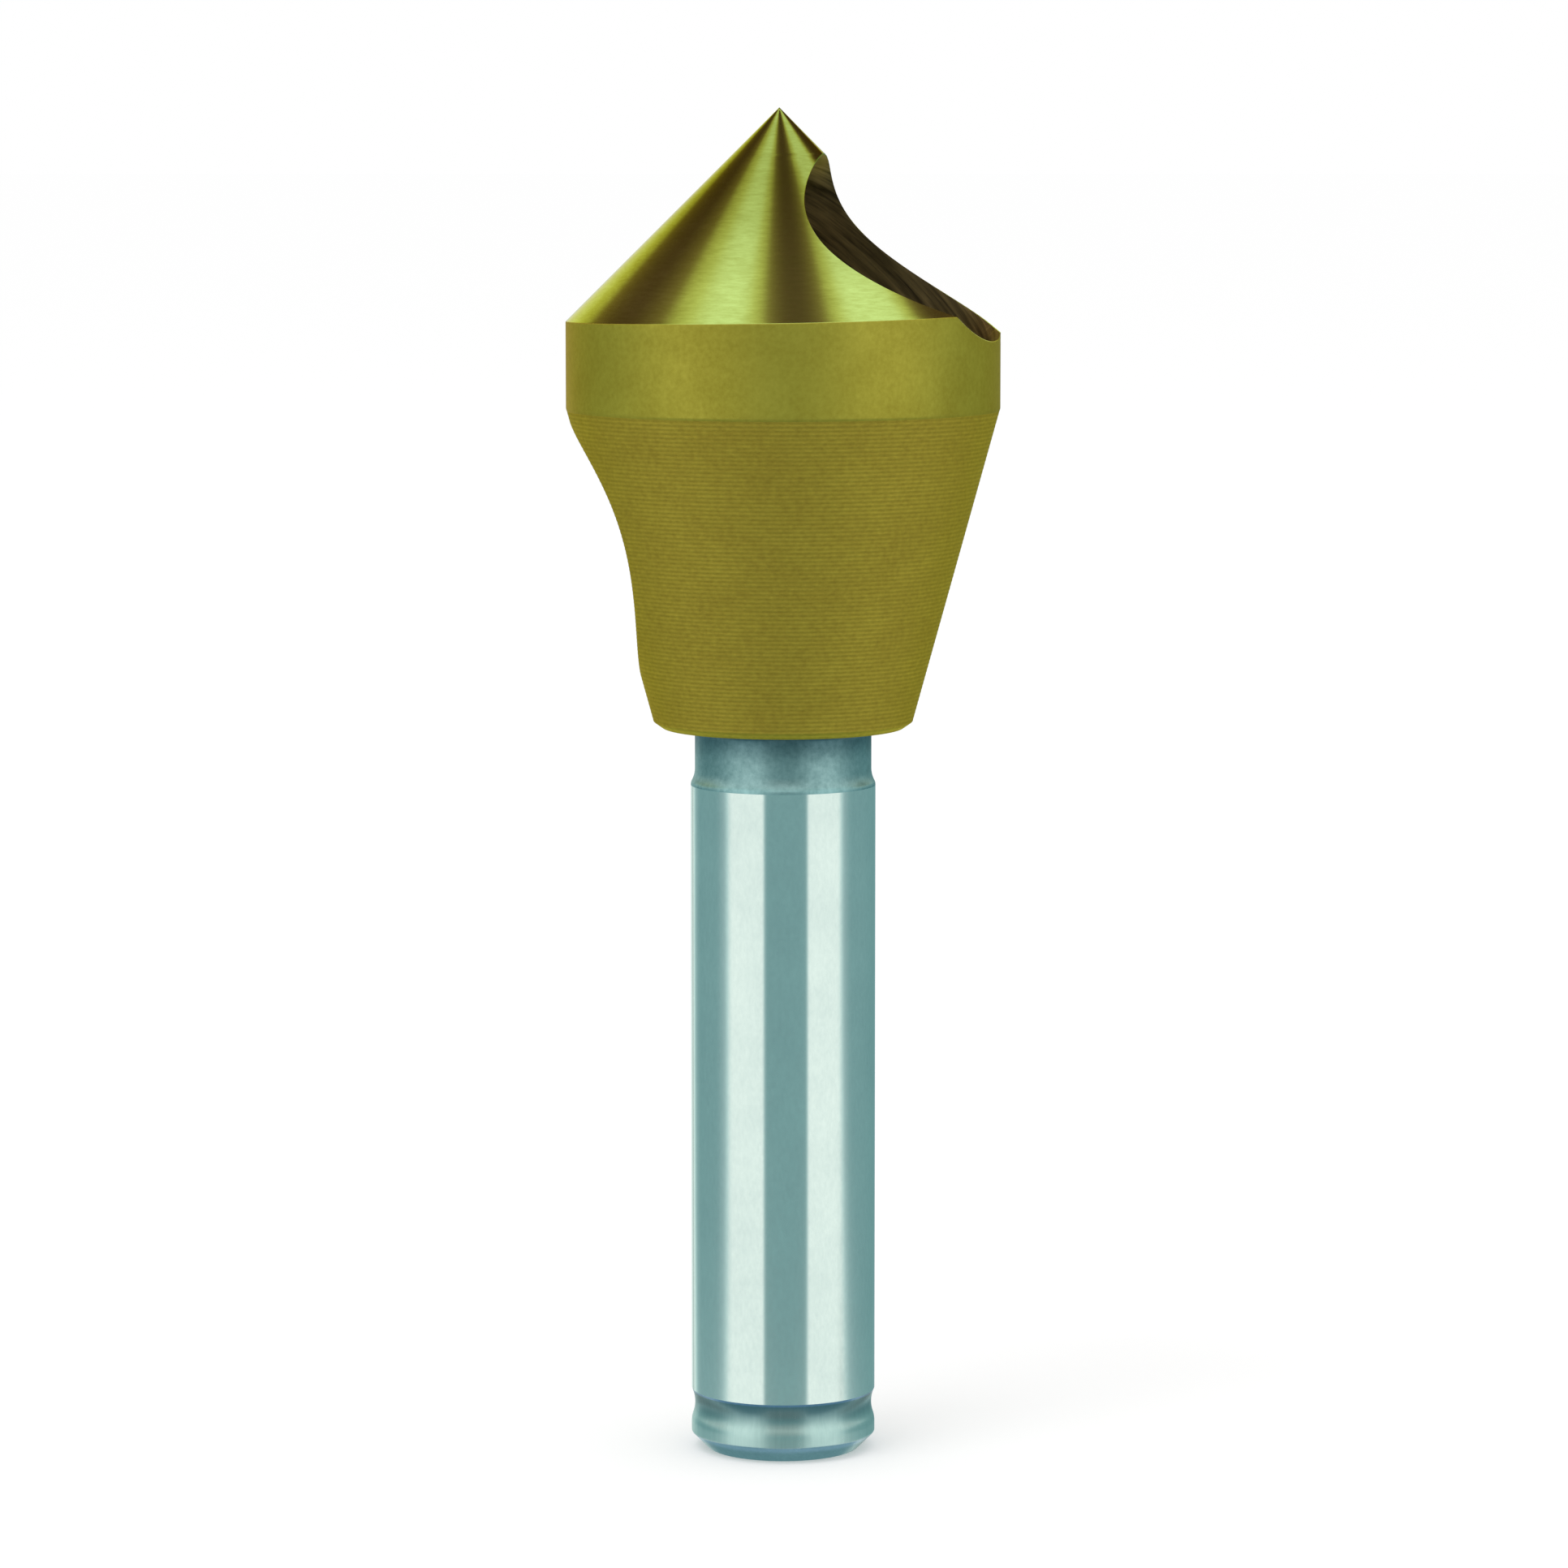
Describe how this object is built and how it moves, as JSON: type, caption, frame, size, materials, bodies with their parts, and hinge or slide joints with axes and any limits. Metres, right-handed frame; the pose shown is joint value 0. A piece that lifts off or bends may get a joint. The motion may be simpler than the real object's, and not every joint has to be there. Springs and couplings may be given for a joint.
{
  "type": "countersink bit",
  "caption": "One-piece countersink bit: a 90 degree point cut by a slanted cross hole, a tapered head and a straight round shank.",
  "frame": {"origin": "centre of the shank's end face, at the bottom", "axes": "+Z along the bit's axis from the shank to the point; the cross hole's upper end leans towards +X, 14.75 degrees towards -Y"},
  "size_m": [0.028, 0.028, 0.0874],
  "materials": {
    "coated_steel": "ground steel, gold-coloured coating on the head, bare bright shank"
  },
  "bodies": {
    "root": {"countersink_bit": "coated_steel"}
  },
  "joints": []
}
